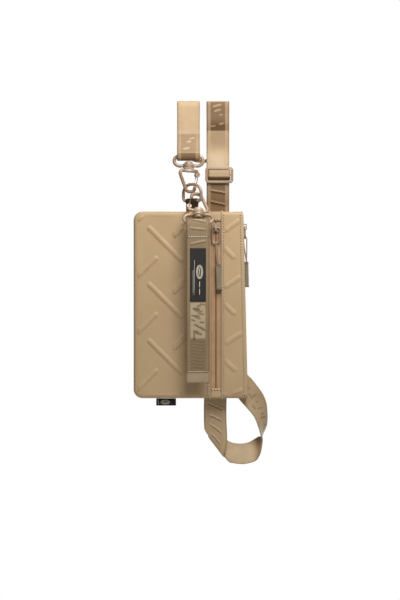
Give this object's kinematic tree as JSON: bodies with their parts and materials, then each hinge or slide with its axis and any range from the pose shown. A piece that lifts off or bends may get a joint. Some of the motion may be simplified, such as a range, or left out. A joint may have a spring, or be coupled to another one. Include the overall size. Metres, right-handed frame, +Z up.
{
  "type": "neck pouch wallet",
  "caption": "Slim zipped neck pouch with embossed leather-look front, webbing neck strap, swivel hooks on a ring, hanging key strap and tri-glide adjuster.",
  "frame": {"origin": "axis of the thin peg (or the wearer's neck line) that the two front strap legs are draped over, midway between the legs", "axes": "+Z up, the embossed front of the pouch faces -Y, +X is to the right seen from the front"},
  "size_m": [0.152, 0.068, 0.4038],
  "materials": {
    "leather": "smooth, softly embossed, satin",
    "dark_leather": "dark brown, matte",
    "lining": "plain woven lining",
    "webbing": "satin webbing with woven jacquard bands",
    "zip_tape": "woven zipper tape",
    "zip_coil": "nylon coil",
    "coated_metal": "matte beige coating",
    "bare_wire": "bright steel wire",
    "pull_cord": "braided cord",
    "sleeve": "khaki shrink sleeve, satin",
    "label": "black woven label"
  },
  "bodies": {
    "pouch": {"back_lining": "lining", "back_panel": "leather", "card_pocket": "lining", "front_panel": "leather", "front_strip": "leather", "front_zip_coil_left": "zip_coil", "front_zip_coil_right": "zip_coil", "front_zip_end_patch": "leather", "front_zip_tape_left": "zip_tape", "front_zip_tape_right": "zip_tape", "front_zip_top_patch": "leather", "gusset": "leather", "lower_strap": "webbing", "neck_strap": "webbing", "pocket_divider": "lining", "return_strap": "webbing", "ring_tab": "dark_leather", "side_label": "label", "side_zip_coil_back": "zip_coil", "side_zip_coil_front": "zip_coil", "side_zip_tape_back": "zip_tape", "side_zip_tape_front": "zip_tape", "strap_anchor": "leather", "upper_eye": "coated_metal"},
    "front_slider_body": {"front_slider": "coated_metal"},
    "front_pull": {"front_puller": "coated_metal", "front_pull_cord": "pull_cord", "front_pull_sleeve": "sleeve"},
    "side_slider_body": {"side_slider": "coated_metal"},
    "side_pull": {"side_puller": "coated_metal", "side_pull_cord": "pull_cord", "side_pull_sleeve": "sleeve"},
    "glide": {"tri_glide": "coated_metal", "glide_hump": "webbing"},
    "upper_hook_body": {"upper_hook": "coated_metal", "upper_swivel_pin": "coated_metal"},
    "upper_gate_body": {"upper_gate": "bare_wire"},
    "ring": {"d_ring": "coated_metal"},
    "lower_hook_body": {"lower_hook": "coated_metal", "lower_swivel_pin": "coated_metal"},
    "lower_gate_body": {"lower_gate": "bare_wire"},
    "lower_eye_body": {"lower_eye": "coated_metal"},
    "key_strap_body": {"key_strap": "webbing", "key_label": "label"}
  },
  "joints": [
    {"name": "front_zip_slide", "type": "slide", "parent": "pouch", "child": "front_slider_body", "axis": [0, 0, 1], "range_m": [-0.145, 0]},
    {"name": "front_puller_lift", "type": "hinge", "parent": "front_slider_body", "child": "front_pull", "pos_m": [0.01475, -0.0173, -0.135], "axis": [-1, 0, 0], "range_deg": [0, 70]},
    {"name": "side_zip_slide", "type": "slide", "parent": "pouch", "child": "side_slider_body", "axis": [-0.0243, 0, 0.9997], "range_m": [-0.15, 0]},
    {"name": "side_puller_lift", "type": "hinge", "parent": "side_slider_body", "child": "side_pull", "pos_m": [0.04671, -0.009, -0.13397], "axis": [0, -1, 0], "range_deg": [0, 110]},
    {"name": "tri_glide_slide", "type": "slide", "parent": "pouch", "child": "glide", "axis": [0, 0, 1], "range_m": [-0.006, 0.035]},
    {"name": "upper_hook_swivel", "type": "hinge", "parent": "pouch", "child": "upper_hook_body", "pos_m": [-0.0153, -0.0073, -0.0716], "axis": [0, 0.0698, 0.9976], "range_deg": [-6, 6]},
    {"name": "upper_gate_open", "type": "hinge", "parent": "upper_hook_body", "child": "upper_gate_body", "pos_m": [-0.00585, -0.00282, -0.07652], "axis": [-0.454, 0.8888, -0.0622], "range_deg": [0, 15], "stiffness_Nm_per_rad": 0.005, "springref_deg": -20.05},
    {"name": "ring_tilt", "type": "hinge", "parent": "pouch", "child": "ring", "pos_m": [-0.0113, -0.01, -0.1055], "axis": [0.809, -0.5878, 0], "range_deg": [-2, 2]},
    {"name": "lower_hook_swing", "type": "hinge", "parent": "ring", "child": "lower_hook_body", "pos_m": [-0.00256, -0.01635, -0.1043], "axis": [-1, 0, 0], "range_deg": [0, 12]},
    {"name": "lower_gate_open", "type": "hinge", "parent": "lower_hook_body", "child": "lower_gate_body", "pos_m": [-0.01497, -0.02277, -0.11227], "axis": [-0.2079, 0.8013, -0.561], "range_deg": [0, 15], "stiffness_Nm_per_rad": 0.005, "springref_deg": -20.05},
    {"name": "lower_hook_swivel", "type": "hinge", "parent": "lower_hook_body", "child": "lower_eye_body", "pos_m": [-0.0046, -0.0236, -0.1173], "axis": [0, 0.5736, 0.8192], "range_deg": [-8, 12]},
    {"name": "key_strap_swing", "type": "hinge", "parent": "lower_eye_body", "child": "key_strap_body", "pos_m": [-0.0046, -0.03289, -0.13057], "axis": [-1, 0, 0], "range_deg": [-2, 35]}
  ]
}
